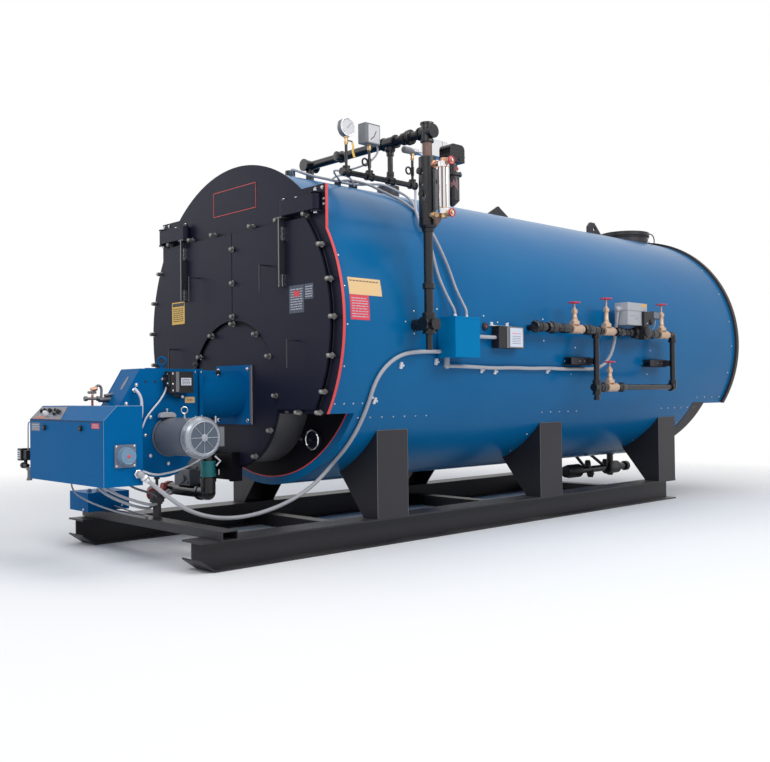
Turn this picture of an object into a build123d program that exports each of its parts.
from build123d import *
import math
import os

os.makedirs("parts", exist_ok=True)

# Frame: +Z up, the burner end faces -Y, the piping side faces +X.
# The origin is on the floor, midway along the two skid beams and on the boiler's centre line.
# A station u is measured from the front tube sheet; places in front of it have a negative u.

# Skid beams
skid_length = 4794.0
skid_height = 165.0
skid_flange_width = 190.0
skid_flange_thickness = 10.0
skid_web_thickness = 8.0
skid_spread = 1344.0
skid_nose = 998.0
skid_nose_run = 87.0
skid_nose_rise = 61.0
anchor_hole_diameter = 22.0
anchor_hole_inset = 30.0
anchor_half_spacing = 1900.0

# Boiler vessel
axis_height = 1351.0
jacket_radius = 1000.0
lagging_thickness = 49.7
curved_gap = 0.3
shell_wall = 12.0
shell_length = 4150.0
tube_sheet_thickness = 16.0
step_height = 819.0

# Front smoke box and its plate
front_box_depth = 229.5
front_plate_thickness = 8.0
front_plate_radius = 1028.0
box_wall = 6.0
ear_half_width = 885.0
ear_top = 2132.0
ear_bottom = 1800.0
mullion_width = 110.0
frame_overlap = 45.0

# Rear smoke box: it reaches back over the end of the pressure shell
rear_box_depth = 340.0
rear_box_reach = 130.0
rear_plate_thickness = 8.0
rear_plate_radius = 1005.0
rear_cover_radius = 930.0
rear_cover_thickness = 20.0
rear_cover_low = 60.0
rear_cover_high = 620.0
stack_radius = 215.0
stack_wall = 6.0
stack_height = 88.0
stack_u = 4262.0
stack_lip = 10.0
stack_lip_height = 14.0
flue_seat = 3.0

# Front half doors and their davit arms
door_radius = 953.0
door_thickness = 25.0
door_plate_thickness = 12.0
door_inset = 22.0
door_standoff = 5.5
door_seam = 7.0
door_top = 1954.0
door_bottom = 845.0
arc_clearance = 9.0
davit_pin_x = 835.0
davit_swivel_x = 540.0
davit_pin_radius = 8.0
pin_clearance = 0.3
arm_height = 88.0
arm_depth = 48.0
arm_bottom = 1986.0
arm_boss_radius = 16.0
lug_gap = 6.0
lug_thickness = 8.0
lug_margin = 4.0
strap_width = 12.0
strap_depth = 40.0
strap_length = 415.0
strap_head_width = 60.0
strap_head_thickness = 10.0
swivel_nut_radius = 14.0
swivel_nut_height = 14.0
handle_rod_radius = 5.0
handle_reach = 70.0
handle_drop = 165.0
upper_handle_x = 390.0
upper_handle_z = 1715.0
lower_handle_x = 650.0
lower_handle_z = 1252.0

# Furnace front
furnace_height = 934.0
furnace_radius = 430.0
furnace_wall = 10.0
disc_radius = 460.0
disc_thickness = 13.5
hand_hole_x = 490.0
hand_hole_z = 655.0
hand_hole_radius = 62.0
hand_hole_rim = 14.0
hand_hole_depth = 28.0
rear_hole_radius = 200.0
rear_hole_z = 600.0
rear_hole_depth = 38.0

# Burner
mount_plate_size = 370.0
mount_plate_thickness = 19.0
mount_plate_corner = 18.0
slot_inset = 26.0
slot_length = 34.0
slot_width = 14.0
blast_height = 940.0
blast_radius = 148.0
flange_size = 300.0
flange_thickness = 24.0
flange_groove = 16.0
flange_step = 15.0
flange_front = 648.0
housing_right = 165.0
housing_left = 55.0
housing_top = 1089.0
housing_bend = 1006.0
housing_slant_foot = 844.0
scroll_center_z = 699.0
scroll_radius = 180.0
scroll_growth = 134.0
scroll_throat = 60.0
motor_u = 823.0
motor_radius = 108.0
motor_length = 366.0
fan_cover_radius = 116.0
fan_cover_length = 55.0
fan_cover_round = 18.0
terminal_box_length = 110.0
terminal_box_depth = 60.0
terminal_box_height = 110.0
terminal_box_seat = 20.0
cabinet_half_width = 453.0
cabinet_front = 1380.0
cabinet_back = 1156.0
cabinet_bottom = 459.0
cabinet_lip = 805.0
cabinet_top = 881.0
cabinet_slope_depth = 77.0
latch_radius = 15.0
latch_depth = 12.0
latch_places = ((-247.0, 760.0), (203.0, 763.0))
horn_plate = 120.0
horn_plate_thickness = 10.0
horn_radius = 44.0
horn_depth = 34.0
horn_from_back = 105.0
horn_height = 619.0
actuator_rear = 700.0
actuator_length = 150.0
actuator_depth = 65.0
actuator_bottom = 948.0
actuator_height = 124.0
gas_pipe_radius = 38.0
gas_pipe_bore = 33.0
gas_bore_depth = 60.0
gas_elbow_radius = 46.0
gas_elbow_reach = 92.0
gas_pipe_height = 333.0
gas_pipe_u = 457.0
gas_pipe_length = 480.0
gas_collar_radius = 45.0
gas_collar_bottom = 432.0
gas_collar_top = 530.0
cross_beam_width = 100.0
cross_beam_height = 50.0
cross_beam_wall = 5.0
cross_beam_u = 841.0
cross_beam_half_length = 800.0
post_x = 51.0
post_radius = 24.0
post_top = 302.0
clamp_radius = 33.0
clamp_top = 374.0
clamp_band_radius = 42.0
clamp_band_low = 314.0
clamp_band_high = 340.0
post_rod_radius = 9.0
oil_box_left = 790.0
oil_box_right = 540.0
oil_box_front = 980.0
oil_box_back = 700.0
oil_box_height = 118.0

# Saddles and cross members
saddle_width = 262.0
saddle_plate = 10.0
saddle_foot_width = 130.0
saddle_reach = 355.0
saddle_places = {"front": 258.0, "middle": 1884.0, "rear": 3525.0}
cross_member_height = 76.0
cross_member_width = 100.0

# Water column and its header
column_x = 1117.0
column_u = 362.0
column_pipe_radius = 28.0
column_body_radius = 53.0
column_body_bottom = 1899.0
column_body_length = 431.0
column_body_round = 24.0
lower_cross_z = 1341.0
upper_cross_rise = 150.0
cross_half = 58.0
cross_radius = 36.0
band_step = 5.0
band_width = 12.0
header_riser_x = 15.0
drain_radius = 20.0
drain_length = 95.0
crown_neck_radius = 34.0
crown_neck_u = 205.0
crown_neck_height = 72.0
manifold_x = 800.0
manifold_drop = 235.0
manifold_front_u = -34.0
manifold_rear_u = 590.0
manifold_radius = 17.0
control_riser_radius = 8.0
gauge_u = 0.0
gauge_rise = 265.0
gauge_radius = 55.0
gauge_depth = 36.0
switch_width = 64.0
front_switch_u = 186.0
front_switch_length = 120.0
front_switch_rise = 195.0
front_switch_height = 120.0
rear_riser_u = 556.0
rear_boss_radius = 20.0
rear_boss_front = 479.0
rear_boss_rise = 217.0
rear_switch_front = 590.0
rear_switch_length = 260.0
rear_switch_rise = 212.0
rear_switch_height = 105.0
glass_x = 1247.0
glass_radius = 34.0
glass_bottom_rise = 77.0
glass_top_drop = 49.0
glass_cock_radius = 14.0
glass_cock_reach = 58.0
cock_wheel_radius = 25.0
cock_wheel_width = 10.0
cock_wheel_rim = 4.0
cock_stem_radius = 5.0
cock_stem_length = 16.0
level_arm_radius = 18.0
level_u = 580.0
level_rise = 286.0
level_bowl_radius = 44.0
level_bowl_drop = 117.0
level_bowl_rise = 66.0
level_bowl_taper = 34.0
level_flange_radius = 58.0
level_flange_thickness = 16.0
level_neck_radius = 32.0
level_neck_height = 66.0
level_head_width = 90.0
level_head_length = 130.0
level_head_height = 106.0
level_head_round = 30.0

# Feed valve loop
loop_x = 1120.0
loop_top_z = 1370.0
loop_bottom_z = 962.0
loop_start_u = 1460.0
first_valve_reach = 370.0
left_tee_reach = 631.0
second_valve_reach = 133.0
motor_valve_reach = 416.0
third_valve_reach = 350.0
loop_end_reach = 160.0
lower_valve_reach = 167.0
loop_pipe_radius = 21.0
fitting_radius = 29.0
fitting_half = 40.0
valve_half = 48.0
valve_body_radius = 30.0
bonnet_radius = 19.0
bonnet_height = 82.0
stem_radius = 6.0
wheel_radius = 44.0
wheel_rim_radius = 5.0
rim_sides = 6
wheel_hub_radius = 12.0
wheel_hub_height = 14.0
closed_wheel_lift = 184.0
open_wheel_lift = 235.0
wheel_spokes = 5
spoke_width = 8.0
spoke_height = 5.0
stem_end = 8.0
motor_valve_radius = 38.0
motor_valve_half = 60.0
motor_valve_neck = 20.0
feed_actuator_bottom = 1425.0
feed_actuator_height = 165.0
feed_actuator_half_width = 55.0
feed_actuator_ahead = 219.0
feed_actuator_behind = 48.0

# Electrical boxes and conduit
junction_u = 560.0
junction_length = 228.0
junction_depth = 145.0
junction_bottom = 1150.0
junction_top = 1398.0
relay_u = 1075.0
relay_length = 255.0
relay_depth = 60.0
relay_bottom = 1222.0
relay_top = 1365.0
link_z = 1290.0
link_lift = 30.0
conduit_radius = 12.0
conduit_lift = 14.0
gland_radius = 17.0
gland_length = 26.0
gland_nose = 40.0
gland_ball = 2.0
gland_z = 520.0
gland_inset = 30.0
clip_u = 72.0
clip_run = 225.0
junction_entry_reach = 115.0
feed_run_start = 110.0
feed_run_end = 340.0
junction_entry_x = 1022.0
junction_entry_z = 1186.0
feed_fitting_x = 1020.0
feed_fitting_u = 58.0
feed_fitting_z = 1100.0
actuator_fitting_x = 1112.0
actuator_fitting_reach = 32.0
actuator_fitting_z = 1540.0

# Top fittings
lug_plate_thickness = 20.0
lug_root = 30.0
middle_lug_u = 2361.0
middle_lug_half = 122.0
middle_lug_foot = 44.0
middle_lug_peak = 115.0
rear_lug_u = 3745.0
rear_lug_front = 105.0
rear_lug_back = 125.0
rear_lug_foot = 24.0
rear_lug_peak = 138.0
rear_lug_chamfer = 42.0
rear_lug_hole_rise = 78.0
lug_hole_radius = 20.0
steam_nozzle_u = 1111.0
steam_nozzle_radius = 82.0
steam_nozzle_height = 95.0
steam_nozzle_bore = 50.0
steam_nozzle_floor = 20.0

# Blowdown pipe under the rear of the shell
blowdown_u = 3260.0
blowdown_length = 980.0
blowdown_z = 222.0
blowdown_radius = 30.0
blowdown_riser_u = 3960.0
blowdown_valve_radius = 52.0
blowdown_valve_length = 190.0

# Sizes that follow from others
column_body_top = column_body_bottom + column_body_length
upper_cross_z = column_body_top + upper_cross_rise
manifold_z = upper_cross_z - manifold_drop
gauge_z = manifold_z + gauge_rise
front_switch_bottom = manifold_z + front_switch_rise
rear_switch_bottom = manifold_z + rear_switch_rise
rear_boss_z = manifold_z + rear_boss_rise
glass_bottom = column_body_bottom + glass_bottom_rise
glass_top = column_body_top - glass_top_drop
level_z = column_body_bottom + level_rise
first_valve_u = loop_start_u + first_valve_reach
loop_left_u = loop_start_u + left_tee_reach
second_valve_u = loop_left_u + second_valve_reach
lower_valve_u = loop_left_u + lower_valve_reach
motor_valve_u = second_valve_u + motor_valve_reach
third_valve_u = motor_valve_u + third_valve_reach
loop_right_u = third_valve_u + loop_end_reach
actuator_fitting_u = motor_valve_u - feed_actuator_ahead - actuator_fitting_reach
half_length = skid_length / 2
front_y = -half_length + skid_nose
rear_y = front_y + shell_length
shell_radius = jacket_radius - lagging_thickness - curved_gap
seat_radius = jacket_radius + curved_gap
crown = axis_height + jacket_radius
skid_x = skid_spread / 2


def station(u):
    """Y of a station u behind the front tube sheet."""
    return front_y + u


def block(x0, x1, y0, y1, z0, z1):
    size = Box(abs(x1 - x0), abs(y1 - y0), abs(z1 - z0))
    return Pos((x0 + x1) / 2, (y0 + y1) / 2, (z0 + z1) / 2) * size


def rod_x(radius, x0, x1, y, z):
    return Pos((x0 + x1) / 2, y, z) * Rot(0, 90, 0) * Cylinder(radius, abs(x1 - x0))


def rod_y(radius, y0, y1, x, z):
    return Pos(x, (y0 + y1) / 2, z) * Rot(90, 0, 0) * Cylinder(radius, abs(y1 - y0))


def rod_z(radius, z0, z1, x, y):
    return Pos(x, y, (z0 + z1) / 2) * Cylinder(radius, abs(z1 - z0))


def slab_y(face, y0, y1):
    """A face drawn in X and Z, made solid between two places along Y."""
    plane = Plane(origin=(0, y1, 0), x_dir=(1, 0, 0), z_dir=(0, -1, 0))
    return extrude(plane * face, amount=y1 - y0)


def slab_x(face, x0, x1):
    """A face drawn in Y and Z, made solid between two places along X."""
    plane = Plane(origin=(x0, 0, 0), x_dir=(0, 1, 0), z_dir=(1, 0, 0))
    return extrude(plane * face, amount=x1 - x0)


def save(name, shape):
    export_step(shape, "parts/" + name + ".step")


def mirrored(shape):
    return mirror(shape, about=Plane.YZ)


def disc_face(radius, x=0.0, z=axis_height):
    return Pos(x, z) * Circle(radius)


def window(x0, x1, z0, z1):
    return Pos((x0 + x1) / 2, (z0 + z1) / 2) * Rectangle(x1 - x0, z1 - z0)


jacket_cutter = rod_y(seat_radius, front_y, rear_y, 0, axis_height)


def on_jacket(angle, u, lift):
    """A point at an angle above the horizontal, lift outside the jacket's surface."""
    radius = jacket_radius + lift
    a = math.radians(angle)
    return (radius * math.cos(a), station(u), axis_height + radius * math.sin(a))


def tube(points, radius):
    """A round tube along straight runs that are joined by tangent arcs."""
    vectors = [Vector(*p) for p in points]
    radii = []
    for before, here, after in zip(vectors, vectors[1:], vectors[2:]):
        turn = math.radians((here - before).get_angle(after - here))
        run = min((here - before).length, (after - here).length)
        radii.append(0.45 * run / math.tan(turn / 2))
    path = FilletPolyline(*vectors, radius=radii)
    start = Plane(origin=path @ 0, z_dir=path % 0)
    return sweep(start * Circle(radius), path=path), radii


def banded(rod, place, first, second):
    """A threaded fitting along one axis: a fat run with a band at each mouth."""
    low = place - cross_half
    high = place + cross_half
    piece = rod(cross_radius, low, high, first, second)
    piece += rod(cross_radius + band_step, low, low + band_width, first, second)
    piece += rod(cross_radius + band_step, high - band_width, high, first, second)
    return piece


# Skid beams: rolled sections with a turned up nose and anchor holes in the inner half of the bottom flange
def skid_beam(side):
    x = side * skid_x
    half = skid_flange_width / 2
    web = skid_web_thickness / 2
    flat_start = -half_length + skid_nose_run
    beam = block(x - half, x + half, flat_start, half_length, 0, skid_flange_thickness)
    beam += block(x - half, x + half, -half_length, half_length,
                  skid_height - skid_flange_thickness, skid_height)
    nose_line = Polyline((-half_length, skid_nose_rise), (flat_start, 0), (flat_start, skid_flange_thickness),
                         (-half_length, skid_nose_rise + skid_flange_thickness), close=True)
    beam += slab_x(make_face(nose_line), x - half, x + half)
    web_line = Polyline((-half_length, skid_nose_rise + skid_flange_thickness), (flat_start, skid_flange_thickness),
                        (half_length, skid_flange_thickness), (half_length, skid_height - skid_flange_thickness),
                        (-half_length, skid_height - skid_flange_thickness), close=True)
    beam += slab_x(make_face(web_line), x - web, x + web)
    hole_x = side * (skid_x - half + anchor_hole_inset)
    for y in (-anchor_half_spacing, anchor_half_spacing):
        beam -= rod_z(anchor_hole_diameter / 2, -1, skid_flange_thickness + 1, hole_x, y)
    return beam


save("skid_right", skid_beam(1))
save("skid_left", skid_beam(-1))

# Front cross beam: a rectangular tube across the skid noses
cross_beam_y = station(-cross_beam_u)
cross_beam_top = skid_height + cross_beam_height
beam_half = cross_beam_width / 2
beam_outer = block(-cross_beam_half_length, cross_beam_half_length, cross_beam_y - beam_half,
                   cross_beam_y + beam_half, skid_height, cross_beam_top)
beam_inner = block(-cross_beam_half_length - 1, cross_beam_half_length + 1,
                   cross_beam_y - beam_half + cross_beam_wall, cross_beam_y + beam_half - cross_beam_wall,
                   skid_height + cross_beam_wall, cross_beam_top - cross_beam_wall)
cross_beam = beam_outer - beam_inner


# Saddles: two gussets shaped to the jacket and an outer face plate
skid_outer_x = skid_x + skid_flange_width / 2


def saddle(u):
    y0 = station(u)
    y1 = y0 + saddle_width
    tip_x = skid_outer_x - saddle_reach
    tip_z = axis_height - math.sqrt(jacket_radius ** 2 - tip_x ** 2)
    outline = Polyline((skid_outer_x, skid_height), (skid_outer_x - saddle_foot_width, skid_height),
                       (tip_x, tip_z), (tip_x, axis_height), (skid_outer_x, axis_height), close=True)
    gusset = make_face(outline) - disc_face(seat_radius)
    side_face = window(skid_outer_x - saddle_plate, skid_outer_x, skid_height, axis_height)
    side_face -= disc_face(seat_radius)
    piece = slab_y(gusset, y0, y0 + saddle_plate)
    piece += slab_y(gusset, y1 - saddle_plate, y1)
    piece += slab_y(side_face, y0 + saddle_plate, y1 - saddle_plate)
    return piece


for place, u in saddle_places.items():
    right_saddle = saddle(u)
    save("saddle_" + place, Compound([right_saddle, mirrored(right_saddle)]))

# Cross members between the skid webs, one under each saddle
members = []
web_inner = skid_x - skid_web_thickness / 2
for u in saddle_places.values():
    y = station(u) + saddle_width / 2
    members.append(block(-web_inner, web_inner, y - cross_member_width / 2, y + cross_member_width / 2,
                         skid_flange_thickness, skid_flange_thickness + cross_member_height))
save("cross_members", Compound(members))

# Vessel: pressure shell between two tube sheets
shell_end_y = rear_y - rear_box_reach
shell_ring = disc_face(shell_radius) - disc_face(shell_radius - shell_wall)
save("pressure_shell", slab_y(shell_ring, front_y + tube_sheet_thickness, shell_end_y - tube_sheet_thickness))
save("front_tube_sheet", slab_y(disc_face(shell_radius), front_y, front_y + tube_sheet_thickness))
save("rear_tube_sheet", slab_y(disc_face(shell_radius), shell_end_y - tube_sheet_thickness, shell_end_y))

# Lagging jacket and its two hoods above the step
stack_y = station(stack_u)
flue_hole = rod_z(stack_radius - flue_seat, axis_height, crown + stack_height, 0, stack_y)
jacket_ring = disc_face(jacket_radius) - disc_face(shell_radius + curved_gap)
above_step = window(-jacket_radius, jacket_radius, step_height, crown)
hood_ring = jacket_ring & above_step
plate_back = station(-front_box_depth)
rear_face_y = rear_y + rear_box_depth
save("jacket", slab_y(jacket_ring, front_y, rear_y) - flue_hole)
save("jacket_front_hood", slab_y(hood_ring, plate_back, front_y))
save("jacket_rear_hood", slab_y(hood_ring, rear_y, rear_face_y) - flue_hole)

# Smoke boxes: a curved wall with a flat floor at the step
inner_disc = disc_face(shell_radius - box_wall)
box_face = (disc_face(shell_radius) - inner_disc) & above_step
box_face += inner_disc & window(-jacket_radius, jacket_radius, step_height, step_height + box_wall)
neck_hole = disc_face(furnace_radius + curved_gap, 0, furnace_height)
save("front_smoke_box", slab_y(box_face - neck_hole, plate_back, front_y))
skirt_face = disc_face(shell_radius) & window(-jacket_radius, jacket_radius, axis_height - jacket_radius,
                                              step_height)
rear_box = slab_y(box_face, shell_end_y, rear_face_y)
rear_box += slab_y(skirt_face, rear_y - box_wall, rear_y)
save("rear_smoke_box", rear_box - flue_hole)

# Front plate with its ears, two door openings and the furnace hole
plate_front = plate_back - front_plate_thickness
plate_limit = window(-front_plate_radius, front_plate_radius, step_height, axis_height + front_plate_radius)
ears = window(-ear_half_width, ear_half_width, ear_bottom, ear_top)
plate_face = (disc_face(front_plate_radius) + ears) & plate_limit
opening = disc_face(door_radius - frame_overlap)
opening &= window(mullion_width / 2, door_radius, door_bottom + frame_overlap, door_top - frame_overlap)
opening -= disc_face(disc_radius + arc_clearance + frame_overlap, 0, furnace_height)
plate_face -= opening
plate_face -= mirror(opening, about=Plane.YZ)
plate_face -= neck_hole
save("front_plate", slab_y(plate_face, plate_front, plate_back))

# Furnace neck from the tube sheet to the burner disc
neck_face = disc_face(furnace_radius, 0, furnace_height)
neck_face -= disc_face(furnace_radius - furnace_wall, 0, furnace_height)
save("furnace_neck", slab_y(neck_face, plate_front, front_y))
disc_y = plate_front - disc_thickness
save("burner_disc", slab_y(disc_face(disc_radius, 0, furnace_height), disc_y, plate_front))

# Hand holes on the exposed foot of the front tube sheet
rim_face = disc_face(hand_hole_radius, hand_hole_x, hand_hole_z)
lid_face = disc_face(hand_hole_radius - hand_hole_rim, hand_hole_x, hand_hole_z)
hand_hole = slab_y(rim_face - lid_face, front_y - hand_hole_depth, front_y)
hand_hole += slab_y(lid_face, front_y - hand_hole_rim, front_y)
save("hand_holes", Compound([hand_hole, mirrored(hand_hole)]))

# Rear end: plate with its two bolted half covers, and the inspection cover below them
rear_limit = window(-rear_plate_radius, rear_plate_radius, step_height, axis_height + rear_plate_radius)
rear_plate_back = rear_face_y + rear_plate_thickness
save("rear_plate", slab_y(disc_face(rear_plate_radius) & rear_limit, rear_face_y, rear_plate_back))
cover_face = disc_face(rear_cover_radius) & window(door_seam / 2, rear_cover_radius,
                                                   step_height + rear_cover_low, axis_height + rear_cover_high)
rear_cover = slab_y(cover_face, rear_plate_back, rear_plate_back + rear_cover_thickness)
inspection = slab_y(disc_face(rear_hole_radius, 0, rear_hole_z), rear_y, rear_y + rear_hole_depth)
save("rear_covers", Compound([rear_cover, mirrored(rear_cover), inspection]))

# Stack collar on the crown of the rear hood
stack_top = crown + stack_height
collar = rod_z(stack_radius, axis_height, stack_top, 0, stack_y)
collar += rod_z(stack_radius + stack_lip, stack_top - stack_lip_height, stack_top, 0, stack_y)
collar -= rod_z(stack_radius - stack_wall, axis_height - 1, stack_top + 1, 0, stack_y)
collar -= rod_y(seat_radius, station(0), rear_face_y + stack_radius, 0, axis_height)
save("stack_collar", collar)

# Front half doors: a plate with a set-back lining frame that presses on the seal rope
door_back_y = plate_front - door_standoff
door_front_y = door_back_y - door_thickness
door_face = disc_face(door_radius) & window(door_seam / 2, door_radius, door_bottom, door_top)
door_face -= disc_face(disc_radius + arc_clearance, 0, furnace_height)
door_plate_back = door_front_y + door_plate_thickness
backing_face = disc_face(door_radius - door_inset)
backing_face &= window(door_seam / 2 + door_inset, door_radius, door_bottom + door_inset, door_top - door_inset)
backing_face -= disc_face(disc_radius + arc_clearance + door_inset, 0, furnace_height)
door_panel = slab_y(door_face, door_front_y, door_plate_back)
door_panel += slab_y(backing_face, door_plate_back, door_back_y)
save("door_right", door_panel)
save("door_left", mirrored(door_panel))

# Door straps: each hangs a door from its davit arm; the two rod handles go with them
arm_y = plate_front - door_standoff - arm_depth / 2
arm_top = arm_bottom + arm_height
strap_top = arm_bottom - lug_gap


def handle(x, z_top):
    grip_y = door_front_y - handle_reach
    grip = rod_z(handle_rod_radius, z_top - handle_drop, z_top, x, grip_y)
    return grip + rod_y(handle_rod_radius, grip_y, door_front_y, x, z_top - handle_rod_radius)


strap = block(davit_swivel_x - strap_width / 2, davit_swivel_x + strap_width / 2,
              door_front_y - strap_depth, door_front_y, strap_top - strap_length, strap_top)
strap += block(davit_swivel_x - strap_head_width / 2, davit_swivel_x + strap_head_width / 2,
               door_front_y - strap_depth, arm_y + arm_depth / 2, strap_top - strap_head_thickness, strap_top)
strap += rod_z(davit_pin_radius, strap_top, arm_top + swivel_nut_height, davit_swivel_x, arm_y)
strap += rod_z(swivel_nut_radius, arm_top + curved_gap, arm_top + swivel_nut_height, davit_swivel_x, arm_y)
fittings = Compound([strap, handle(upper_handle_x, upper_handle_z), handle(lower_handle_x, lower_handle_z)])
save("door_strap_right", fittings)
save("door_strap_left", mirrored(fittings))

# Davit arms: flat-sided bars that turn on a pin at the plate's ear
pin_hole = davit_pin_radius + pin_clearance
arm_face = SlotCenterToCenter(davit_pin_x - davit_swivel_x, arm_depth)
arm = extrude(Pos((davit_swivel_x + davit_pin_x) / 2, arm_y, arm_bottom) * arm_face, amount=arm_height)
boss_low = arm_bottom - lug_gap + curved_gap
boss_high = arm_top + lug_gap - curved_gap
arm += rod_z(arm_boss_radius, boss_low, arm_bottom, davit_pin_x, arm_y)
arm += rod_z(arm_boss_radius, arm_top, boss_high, davit_pin_x, arm_y)
arm += rod_z(arm_boss_radius, boss_low, arm_bottom, davit_swivel_x, arm_y)
arm -= rod_z(pin_hole, boss_low - 1, boss_high + 1, davit_pin_x, arm_y)
arm -= rod_z(pin_hole, boss_low - 1, boss_high + 1, davit_swivel_x, arm_y)
save("davit_arm_right", arm)
save("davit_arm_left", mirrored(arm))

# Davit brackets: two lugs and a pin on each ear of the front plate
lug_half = arm_depth / 2 + lug_margin
lug_low = arm_bottom - lug_gap
lug_high = arm_top + lug_gap


def davit_lug(z0, z1):
    lug = block(davit_pin_x - lug_half, davit_pin_x + lug_half, arm_y, plate_front, z0, z1)
    return lug + rod_z(lug_half, z0, z1, davit_pin_x, arm_y)


bracket = davit_lug(lug_low - lug_thickness, lug_low) + davit_lug(lug_high, lug_high + lug_thickness)
bracket += rod_z(davit_pin_radius, lug_low - lug_thickness, lug_high + lug_thickness, davit_pin_x, arm_y)
save("davit_brackets", Compound([bracket, mirrored(bracket)]))

# Burner: blast tube with its mounting plate on the disc and the hinge flanges
mount_y = disc_y - mount_plate_thickness
mount_face = Pos(0, furnace_height) * RectangleRounded(mount_plate_size, mount_plate_size, mount_plate_corner)
slot_offset = mount_plate_size / 2 - slot_inset
for side_x in (-1, 1):
    for side_z in (-1, 1):
        slot = Pos(side_x * slot_offset, furnace_height + side_z * slot_offset)
        mount_face -= slot * SlotOverall(slot_length, slot_width)
flange_y = station(-flange_front)
flange_back_y = flange_y + 2 * flange_thickness + flange_groove
flange_square = Pos(0, blast_height) * Rectangle(flange_size, flange_size)
inner_square = Pos(0, blast_height) * Rectangle(flange_size - 2 * flange_step, flange_size - 2 * flange_step)
blast = slab_y(mount_face, mount_y, disc_y)
blast += slab_y(disc_face(blast_radius, 0, blast_height), flange_back_y, mount_y)
blast += slab_y(flange_square, flange_y, flange_y + flange_thickness)
blast += slab_y(inner_square, flange_y + flange_thickness, flange_back_y - flange_thickness)
blast += slab_y(flange_square, flange_back_y - flange_thickness, flange_back_y)
save("blast_tube", blast)


# Air housing: a fan scroll that opens into the box ahead of the blast tube, with a slanted upper face
def scroll_point(angle):
    radius = scroll_radius + scroll_growth * angle / 180
    a = math.radians(-20 - angle)
    return (station(-motor_u) + radius * math.cos(a), scroll_center_z + radius * math.sin(a))


cabinet_back_y = station(-cabinet_back)
scroll_points = [scroll_point(angle) for angle in (0, 35, 70, 105, 135)]
scroll_edge = Spline(scroll_points)
housing_line = Polyline(scroll_points[-1], (cabinet_back_y, scroll_points[-1][1] + scroll_throat),
                        (cabinet_back_y, housing_slant_foot), (station(-housing_bend), housing_top),
                        (flange_y, housing_top), (flange_y, scroll_points[0][1]), scroll_points[0])
housing = slab_x(make_face(Curve() + [scroll_edge, housing_line]), -housing_left, housing_right)
save("air_housing", housing)

# Fan motor with its fan cover and terminal box
motor_y = station(-motor_u)
motor_end = housing_right + motor_length
motor = rod_x(motor_radius, housing_right, motor_end - fan_cover_length, motor_y, scroll_center_z)
fan_cover = rod_x(fan_cover_radius, motor_end - fan_cover_length, motor_end, motor_y, scroll_center_z)
motor += chamfer(fan_cover.edges().group_by(Axis.X)[-1], fan_cover_round)
terminal_x = motor_end - fan_cover_length
terminal_y = motor_y + motor_radius
motor += block(terminal_x - terminal_box_length, terminal_x, terminal_y - terminal_box_seat,
               terminal_y + terminal_box_depth, scroll_center_z - terminal_box_height / 2,
               scroll_center_z + terminal_box_height / 2)
save("fan_motor", motor)

# Control cabinet with its sloped switch panel and two latches, and the alarm horn on its side
cabinet_front_y = station(-cabinet_front)
cabinet_profile = Polyline((cabinet_front_y, cabinet_bottom), (cabinet_back_y, cabinet_bottom),
                           (cabinet_back_y, cabinet_top), (cabinet_front_y + cabinet_slope_depth, cabinet_top),
                           (cabinet_front_y, cabinet_lip), close=True)
cabinet = slab_x(make_face(cabinet_profile), -cabinet_half_width, cabinet_half_width)
for x, z in latch_places:
    cabinet += rod_y(latch_radius, cabinet_front_y - latch_depth, cabinet_front_y, x, z)
save("control_cabinet", cabinet)
horn_y = cabinet_back_y - horn_from_back
horn_face = cabinet_half_width + horn_plate_thickness
horn = block(cabinet_half_width, horn_face, horn_y - horn_plate / 2, horn_y + horn_plate / 2,
             horn_height - horn_plate / 2, horn_height + horn_plate / 2)
horn += rod_x(horn_radius, horn_face, horn_face + horn_depth, horn_y, horn_height)
save("alarm_horn", horn)

# Damper actuator on the side of the air housing
actuator_y = station(-actuator_rear)
save("damper_actuator", block(housing_right, housing_right + actuator_depth, actuator_y - actuator_length,
                              actuator_y, actuator_bottom, actuator_bottom + actuator_height))

# Gas inlet: an open pipe from the left, a banded elbow, a sleeve and a riser into the blast tube
gas_y = station(-gas_pipe_u)
elbow_mouth_z = gas_pipe_height + gas_elbow_reach
gas = rod_x(gas_pipe_radius, -gas_pipe_length, 0, gas_y, gas_pipe_height)
gas -= rod_x(gas_pipe_bore, -gas_pipe_length - 1, -gas_pipe_length + gas_bore_depth, gas_y, gas_pipe_height)
gas += rod_x(gas_elbow_radius, -gas_elbow_reach, 0, gas_y, gas_pipe_height)
gas += rod_x(gas_elbow_radius + band_step, -gas_elbow_reach, 2 * band_width - gas_elbow_reach, gas_y,
             gas_pipe_height)
gas += Pos(0, gas_y, gas_pipe_height) * Sphere(gas_elbow_radius)
gas += rod_z(gas_elbow_radius, gas_pipe_height, elbow_mouth_z, 0, gas_y)
gas += rod_z(gas_elbow_radius + band_step, elbow_mouth_z - 2 * band_width, elbow_mouth_z, 0, gas_y)
gas += rod_z(gas_pipe_radius, gas_pipe_height, gas_collar_bottom, 0, gas_y)
riser = rod_z(gas_pipe_radius, gas_collar_top, blast_height, 0, gas_y)
riser -= rod_y(blast_radius + curved_gap, flange_y, mount_y, 0, blast_height)
save("gas_pipe", Compound([gas, riser.solids().sort_by(Axis.Z)[0]]))
save("gas_collar", rod_z(gas_collar_radius, gas_collar_bottom, gas_collar_top, 0, gas_y))

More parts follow.
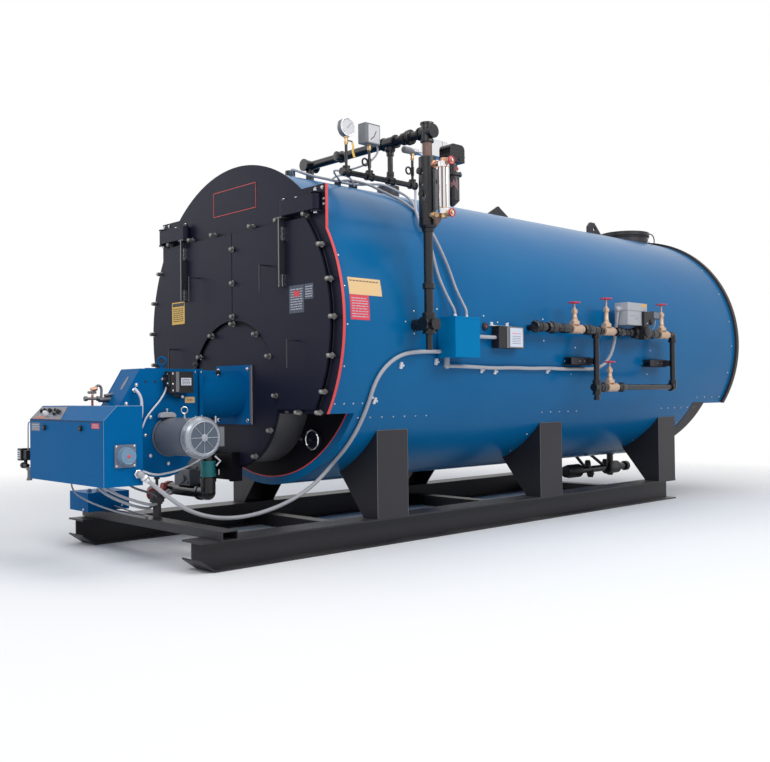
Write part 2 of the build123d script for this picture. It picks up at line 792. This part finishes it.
# Support post under the scroll: a pipe on the front cross beam, a clamp and a screwed rod; the oil pump box
post = rod_z(post_rod_radius, clamp_top, scroll_center_z, post_x, cross_beam_y) - housing
post = post.solids().sort_by(Axis.Z)[0]
post += rod_z(clamp_radius, post_top, clamp_top, post_x, cross_beam_y)
post += rod_z(clamp_band_radius, clamp_band_low, clamp_band_high, post_x, cross_beam_y)
post += rod_z(post_radius, cross_beam_top, post_top, post_x, cross_beam_y)
save("front_cross_beam", cross_beam + post)
save("oil_pump_box", block(-oil_box_left, -oil_box_right, station(-oil_box_front), station(-oil_box_back),
                           cross_beam_top, cross_beam_top + oil_box_height))

# Water column: lower cross, drain leg, column body, upper cross and header
column_y = station(column_u)
leg = rod_z(column_pipe_radius, lower_cross_z, column_body_bottom, column_x, column_y)
leg += banded(rod_z, lower_cross_z, column_x, column_y)
leg += banded(rod_y, column_y, column_x, lower_cross_z)
leg += rod_x(cross_radius, axis_height / 2, column_x + cross_half, column_y, lower_cross_z)
leg += rod_z(drain_radius, lower_cross_z - cross_half - drain_length, lower_cross_z, column_x, column_y)
save("column_leg", leg - jacket_cutter)
body = rod_z(column_body_radius, column_body_bottom, column_body_top, column_x, column_y)
save("water_column", chamfer(body.edges().group_by(Axis.Z)[0], column_body_round))
header = rod_z(column_pipe_radius, column_body_top, upper_cross_z, column_x, column_y)
header += banded(rod_z, upper_cross_z, column_x, column_y)
header += banded(rod_x, column_x, column_y, upper_cross_z)
header += banded(rod_x, manifold_x, column_y, upper_cross_z)
header += rod_x(column_pipe_radius, header_riser_x, column_x, column_y, upper_cross_z)
header += banded(rod_y, column_y, header_riser_x, upper_cross_z)
header += rod_z(column_pipe_radius, axis_height, upper_cross_z, header_riser_x, column_y)
header -= jacket_cutter
crown_neck = rod_z(crown_neck_radius, axis_height, crown + crown_neck_height, 0, station(crown_neck_u))
save("steam_header", Compound([header, crown_neck - jacket_cutter]))

# Control manifold: a small pipe that feeds the pressure controls
manifold = rod_y(manifold_radius, station(manifold_front_u), station(manifold_rear_u), manifold_x, manifold_z)
manifold += rod_z(manifold_radius, manifold_z, upper_cross_z, manifold_x, column_y)
save("control_manifold", manifold - header)


def riser(u, top):
    y = station(u)
    pipe = rod_z(control_riser_radius, manifold_z, top, manifold_x, y)
    pipe -= rod_y(manifold_radius + curved_gap, y - gauge_radius, y + gauge_radius, manifold_x, manifold_z)
    return pipe.solids().sort_by(Axis.Z)[-1]


def switch_box(front_u, length, bottom, height):
    return block(manifold_x - switch_width / 2, manifold_x + switch_width / 2, station(front_u),
                 station(front_u + length), bottom, bottom + height)


gauge = riser(gauge_u, gauge_z)
gauge += rod_x(gauge_radius, manifold_x - gauge_depth / 2, manifold_x + gauge_depth / 2, station(gauge_u), gauge_z)
front_switch = riser(front_switch_u, front_switch_bottom)
front_switch += switch_box(front_switch_u - front_switch_length / 2, front_switch_length, front_switch_bottom,
                           front_switch_height)
rear_switch = riser(rear_riser_u, rear_boss_z)
rear_switch += rod_y(rear_boss_radius, station(rear_boss_front), station(rear_switch_front), manifold_x, rear_boss_z)
rear_switch += switch_box(rear_switch_front, rear_switch_length, rear_switch_bottom, rear_switch_height)
save("pressure_controls", Compound([gauge, front_switch, rear_switch]))

# Gauge glass guard with its two cocks and their small wheels, and the low water control
column_cutter = rod_z(column_body_radius + curved_gap, column_body_bottom, column_body_top, column_x, column_y)
glass = rod_z(glass_radius, glass_bottom, glass_top, glass_x, column_y)
cock_end = glass_x + glass_cock_reach


def cock_wheel(z):
    x0 = cock_end + curved_gap
    x1 = x0 + cock_wheel_width
    wheel = rod_x(cock_wheel_radius, x0, x1, column_y, z)
    wheel -= rod_x(cock_wheel_radius - cock_wheel_rim, x0 + cock_wheel_rim, x1 + 1, column_y, z)
    wheel += rod_x(2 * cock_stem_radius, x0, x1, column_y, z)
    return wheel - rod_x(cock_stem_radius + pin_clearance, x0 - 1, x1 + 1, column_y, z)


for z in (glass_bottom, glass_top):
    cock = rod_x(glass_cock_radius, column_x, glass_x + glass_cock_reach, column_y, z) - column_cutter
    glass += cock.solids().sort_by(Axis.X)[-1]
    glass += rod_x(cock_stem_radius, cock_end, cock_end + cock_stem_length, column_y, z)
    place = "lower" if z == glass_bottom else "upper"
    save("gauge_cock_wheel_" + place, cock_wheel(z))
save("gauge_glass", glass)
level_y = station(level_u)
level = rod_y(level_arm_radius, column_y, level_y, column_x, level_z) - column_cutter
level = level.solids().sort_by(Axis.Y)[-1]
bowl_top = level_z + level_bowl_rise
neck_low = bowl_top + level_flange_thickness
head_low = neck_low + level_neck_height
bowl = rod_z(level_bowl_radius, level_z - level_bowl_drop, bowl_top, column_x, level_y)
head = block(column_x - level_head_width / 2, column_x + level_head_width / 2, level_y - level_head_length / 2,
             level_y + level_head_length / 2, head_low, head_low + level_head_height)
level += chamfer(bowl.edges().group_by(Axis.Z)[0], level_bowl_taper)
level += rod_z(level_flange_radius, bowl_top, neck_low, column_x, level_y)
level += rod_z(level_neck_radius, neck_low, head_low, column_x, level_y)
level += fillet(head.edges().group_by(Axis.Z)[-1].filter_by(Axis.X), level_head_round)
save("water_level_control", level)

# Feed valve loop
loop_start_y = station(loop_start_u)
left_y = station(loop_left_u)
right_y = station(loop_right_u)
drop_top = loop_top_z - fitting_half
drop_bottom = loop_bottom_z + fitting_half
top_run = rod_y(loop_pipe_radius, loop_start_y, right_y, loop_x, loop_top_z)
top_run += rod_x(loop_pipe_radius, axis_height / 2, loop_x, loop_start_y, loop_top_z)
top_run += Pos(loop_x, loop_start_y, loop_top_z) * Sphere(fitting_radius)
top_run += Pos(loop_x, right_y, loop_top_z) * Sphere(fitting_radius)
top_run += rod_z(fitting_radius, drop_top, loop_top_z, loop_x, right_y)
top_run += rod_y(fitting_radius, left_y - fitting_half, left_y + fitting_half, loop_x, loop_top_z)
top_run += rod_z(fitting_radius, drop_top, loop_top_z, loop_x, left_y)
top_run -= jacket_cutter
left_drop = rod_z(loop_pipe_radius, drop_bottom, drop_top, loop_x, left_y)
right_drop = rod_z(loop_pipe_radius, drop_bottom, drop_top, loop_x, right_y)
save("feed_pipe_drops", Compound([left_drop, right_drop]))
bottom_run = rod_y(loop_pipe_radius, left_y, right_y, loop_x, loop_bottom_z)
bottom_run += rod_y(fitting_radius, left_y - fitting_half, left_y + fitting_half, loop_x, loop_bottom_z)
bottom_run += rod_z(fitting_radius, loop_bottom_z - fitting_half, drop_bottom, loop_x, left_y)
bottom_run += Pos(loop_x, right_y, loop_bottom_z) * Sphere(fitting_radius)
bottom_run += rod_z(fitting_radius, loop_bottom_z, drop_bottom, loop_x, right_y)
save("feed_pipes", Compound([top_run, bottom_run]))

# Hand valves: brass bodies on the loop, each with a hand wheel that turns on its stem
valve_places = {"first": (first_valve_u, loop_top_z, closed_wheel_lift),
                "second": (second_valve_u, loop_top_z, open_wheel_lift),
                "third": (third_valve_u, loop_top_z, open_wheel_lift),
                "lower": (lower_valve_u, loop_bottom_z, closed_wheel_lift)}


def valve_body(y, z, wheel_z):
    valve = rod_y(valve_body_radius, y - valve_half, y + valve_half, loop_x, z)
    valve += rod_z(bonnet_radius, z, z + bonnet_height, loop_x, y)
    valve += rod_z(stem_radius, z, wheel_z + stem_end, loop_x, y)
    valve -= rod_y(loop_pipe_radius + curved_gap, y - valve_half - 1, y + valve_half + 1, loop_x, z)
    return valve


def hand_wheel(y, z):
    spoke_reach = wheel_radius - wheel_rim_radius
    rim_section = Plane.XZ * Pos(spoke_reach, 0) * RegularPolygon(wheel_rim_radius, rim_sides)
    wheel = revolve(rim_section, Axis.Z) + Cylinder(wheel_hub_radius, wheel_hub_height)
    for turn in range(wheel_spokes):
        spoke = Pos(spoke_reach / 2, 0) * Box(spoke_reach, spoke_width, spoke_height)
        wheel += Rot(0, 0, 360 * turn / wheel_spokes) * spoke
    wheel -= Cylinder(stem_radius + pin_clearance, 2 * wheel_hub_height)
    return Pos(loop_x, y, z) * wheel


brass = []
for place, (u, z, lift) in valve_places.items():
    brass.append(valve_body(station(u), z, z + lift))
    save("hand_wheel_" + place, hand_wheel(station(u), z + lift))

# Motor driven feed valve and its actuator
motor_valve_y = station(motor_valve_u)
motor_valve = rod_y(motor_valve_radius, motor_valve_y - motor_valve_half, motor_valve_y + motor_valve_half,
                    loop_x, loop_top_z)
motor_valve += rod_z(motor_valve_neck, loop_top_z, feed_actuator_bottom, loop_x, motor_valve_y)
motor_valve -= rod_y(loop_pipe_radius + curved_gap, loop_start_y, right_y, loop_x, loop_top_z)
brass.append(motor_valve)
save("valve_bodies", Compound(brass))
save("feed_actuator", block(loop_x - feed_actuator_half_width, loop_x + feed_actuator_half_width,
                            motor_valve_y - feed_actuator_ahead, motor_valve_y + feed_actuator_behind,
                            feed_actuator_bottom, feed_actuator_bottom + feed_actuator_height))

# Electrical boxes on the jacket's side, joined by a short conduit
junction_end = station(junction_u + junction_length)
junction_box = block(seat_radius, seat_radius + junction_depth, station(junction_u), junction_end,
                     junction_bottom, junction_top)
relay_box = block(seat_radius, seat_radius + relay_depth, station(relay_u), station(relay_u + relay_length),
                  relay_bottom, relay_top)
save("electrical_boxes", Compound([junction_box, relay_box]))
link = rod_y(conduit_radius, junction_end, station(relay_u), seat_radius + link_lift, link_z)

# Flexible conduit: from a gland on the cabinet it hangs under the shell, then it is clipped up to the box
gland_turn = Vector(cabinet_half_width + gland_length, cabinet_back_y - gland_inset, gland_z)
hanging = [(494, -1050, 404), (492, -935, 320), (482, -800, 262), (474, -640, 232), (470, -475, 232),
           (474, -315, 258), (484, -170, 304), (500, -50, 366), (526, 32, 440)]
route = [Vector(x, station(u), z) for x, u, z in hanging]
gland_way = (route[0] - gland_turn).normalized()
route.insert(0, gland_turn + gland_way * gland_nose)
route += [Vector(*on_jacket(angle, clip_u, conduit_lift)) for angle in (-56, -49, -42, -35, -28, -21)]
route += [Vector(*on_jacket(angle, clip_u + share * clip_run, conduit_lift))
          for angle, share in ((-16, 0.18), (-12, 0.55), (-10, 1.0))]
route += [Vector(junction_entry_x, station(junction_u - junction_entry_reach), junction_entry_z)]
route += [Vector(junction_entry_x, station(junction_u), junction_entry_z)]
cable, cable_radii = tube(route, conduit_radius)
print("cabinet conduit arc radii:", [round(r) for r in cable_radii])
save("cabinet_conduit", cable)
gland = rod_x(gland_radius, cabinet_half_width, gland_turn.X, gland_turn.Y, gland_z)
gland += Pos(*gland_turn) * Sphere(gland_radius + gland_ball)
gland += Plane(origin=gland_turn + gland_way * (gland_nose / 2), z_dir=gland_way) * Cylinder(gland_radius,
                                                                                          gland_nose)

# Conduit clipped along the jacket, with a turned fitting at the junction box and at the feed actuator
feed_start_u = junction_u + feed_fitting_u + gland_radius
feed_sway = [(1016, 1100), (998, 1096), (990, 1092), (989, 1098), (988, 1093), (990, 1098), (989, 1094), (991, 1098)]
feed_step = (actuator_fitting_u - feed_run_end - feed_start_u - feed_run_start) / (len(feed_sway) - 1)
feed_route = [(feed_fitting_x, feed_start_u, feed_fitting_z)]
feed_route += [(x, feed_start_u + feed_run_start + feed_step * i, z) for i, (x, z) in enumerate(feed_sway)]
feed_route += [(x, actuator_fitting_u - back, z)
               for x, back, z in ((1000, 195, 1096), (1010, 115, 1104), (1026, 45, 1140), (1044, 0, 1200),
                                  (1060, -18, 1275), (1074, -20, 1350), (1088, -14, 1425), (1102, -5, 1490))]
feed_route += [(actuator_fitting_x, actuator_fitting_u, actuator_fitting_z - gland_radius)]
feed_run, feed_radii = tube([(x, station(u), z) for x, u, z in feed_route], conduit_radius)
print("feed conduit arc radii:", [round(r) for r in feed_radii])
feed_fitting_y = station(junction_u + feed_fitting_u)
feed_run += rod_z(gland_radius, feed_fitting_z, junction_bottom, feed_fitting_x, feed_fitting_y)
feed_run += Pos(feed_fitting_x, feed_fitting_y, feed_fitting_z) * Sphere(gland_radius + gland_ball)
actuator_fitting_y = station(actuator_fitting_u)
feed_run += rod_y(gland_radius, actuator_fitting_y, motor_valve_y - feed_actuator_ahead, actuator_fitting_x,
                  actuator_fitting_z)
feed_run += Pos(actuator_fitting_x, actuator_fitting_y, actuator_fitting_z) * Sphere(gland_radius + gland_ball)
save("conduits", Compound([link, gland, feed_run]))


# Lifting lugs and the steam outlet on the crown
def lifting_lug(profile, u, hole_rise):
    edge = [(station(u) + along, crown + rise) for along, rise in profile]
    lug = slab_x(make_face(Polyline(*edge, close=True)), -lug_plate_thickness / 2, lug_plate_thickness / 2)
    if hole_rise:
        lug -= rod_x(lug_hole_radius, -lug_plate_thickness, lug_plate_thickness, station(u), crown + hole_rise)
    return lug - jacket_cutter


middle_lug = lifting_lug([(-middle_lug_half, -lug_root), (-middle_lug_half, middle_lug_foot), (0, middle_lug_peak),
                          (middle_lug_half, middle_lug_foot), (middle_lug_half, -lug_root)], middle_lug_u, 0)
rear_lug = lifting_lug([(-rear_lug_front, -lug_root), (-rear_lug_front, rear_lug_peak - rear_lug_chamfer),
                        (rear_lug_chamfer - rear_lug_front, rear_lug_peak), (0, rear_lug_peak),
                        (rear_lug_back, rear_lug_foot), (rear_lug_back, -lug_root)], rear_lug_u, rear_lug_hole_rise)
steam_nozzle_y = station(steam_nozzle_u)
steam_nozzle_top = crown + steam_nozzle_height
steam_nozzle = rod_z(steam_nozzle_radius, axis_height, steam_nozzle_top, 0, steam_nozzle_y)
steam_nozzle -= rod_z(steam_nozzle_bore, crown + steam_nozzle_floor, steam_nozzle_top + 1, 0, steam_nozzle_y)
save("crown_fittings", Compound([middle_lug, rear_lug, steam_nozzle - jacket_cutter]))

# Blowdown pipe under the shell
blowdown_y = station(blowdown_u)
blowdown = rod_y(blowdown_radius, blowdown_y, blowdown_y + blowdown_length, 0, blowdown_z)
blowdown += rod_y(blowdown_valve_radius, blowdown_y, blowdown_y + blowdown_valve_length, 0, blowdown_z)
blowdown += rod_z(blowdown_radius, blowdown_z, axis_height - shell_radius, 0, station(blowdown_riser_u))
save("blowdown_pipe", blowdown - jacket_cutter)
